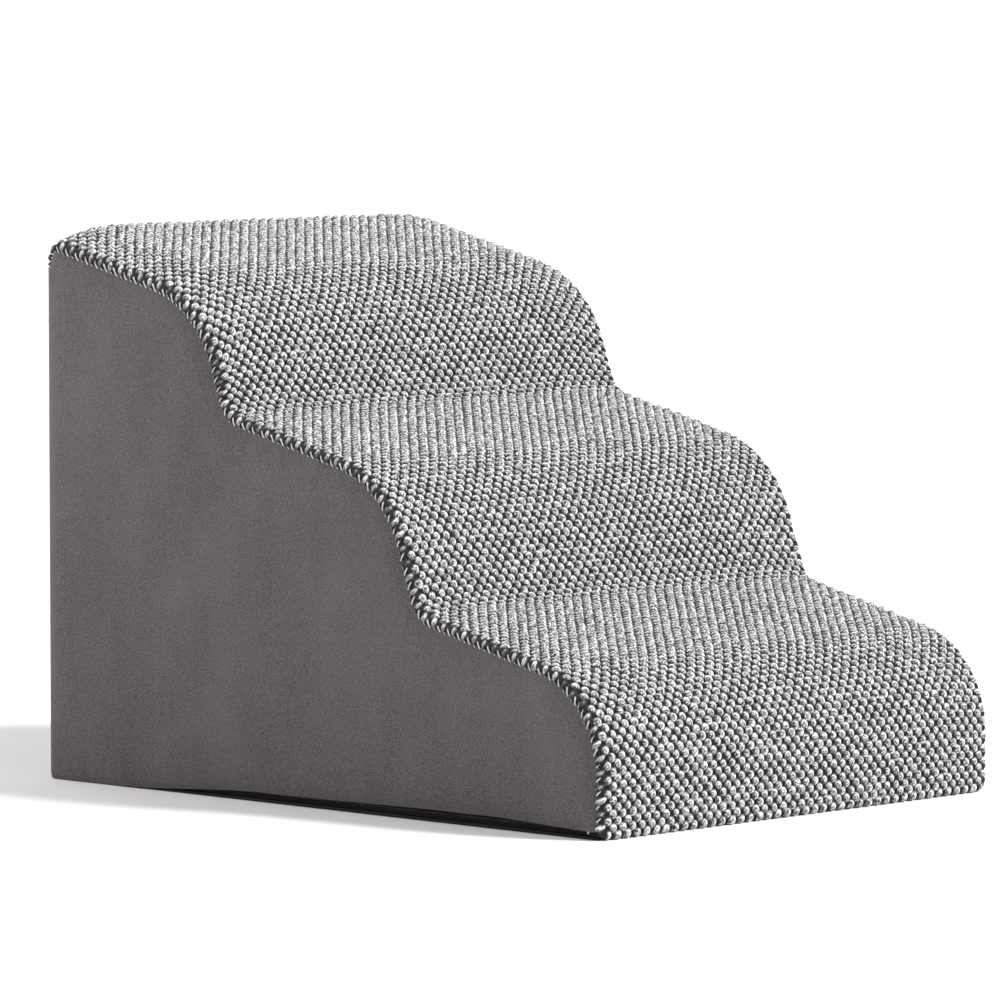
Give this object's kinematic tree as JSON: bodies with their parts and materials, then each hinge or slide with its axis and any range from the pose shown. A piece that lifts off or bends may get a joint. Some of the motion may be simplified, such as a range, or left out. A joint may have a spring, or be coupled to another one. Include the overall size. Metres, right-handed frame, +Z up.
{
  "type": "pet stair ramp",
  "caption": "Low-to-high foam pet ramp with three wave-shaped, forward-sloping treads, a chunky knit top, soft suede sides and a zipped removable cover.",
  "frame": {"origin": "on the floor, at the middle of the footprint", "axes": "+Z up; +Y from the low front end to the tall back end, which stands against the furniture; +X to the right of someone who faces the ramp's back from its front"},
  "size_m": [0.458, 0.617, 0.45],
  "materials": {
    "core_foam": "matte",
    "comfort_foam": "matte",
    "popcorn_knit": "matte",
    "side_suede": "matte",
    "grip_base": "matte",
    "zip_tape": "matte",
    "zip_coil": "satin",
    "zip_metal": "satin"
  },
  "bodies": {
    "ramp": {"core_slab_low": "core_foam", "core_slab_middle": "core_foam", "core_slab_high": "core_foam", "comfort_layer": "comfort_foam", "tread_panel": "popcorn_knit", "left_side_panel": "side_suede", "right_side_panel": "side_suede", "back_panel": "side_suede", "bottom_panel": "grip_base", "zip_tape_lower": "zip_tape", "zip_tape_upper": "zip_tape", "zip_coil_lower": "zip_coil", "zip_coil_upper": "zip_coil", "zip_end_tab_left": "zip_tape", "zip_end_tab_right": "zip_tape", "zip_stop_left": "zip_metal", "zip_stop_right": "zip_metal"},
    "zip_slider": {"zip_slider_body": "zip_metal"},
    "zip_pull_tab": {"zip_pull": "zip_metal"}
  },
  "joints": [
    {"name": "zip_slide", "type": "slide", "parent": "ramp", "child": "zip_slider", "axis": [0, 1, 0], "range_m": [0, 0.545]},
    {"name": "pull_flip", "type": "hinge", "parent": "zip_slider", "child": "zip_pull_tab", "pos_m": [0.2266, -0.279, 0.0067], "axis": [0, 0, -1], "range_deg": [0, 180]}
  ]
}
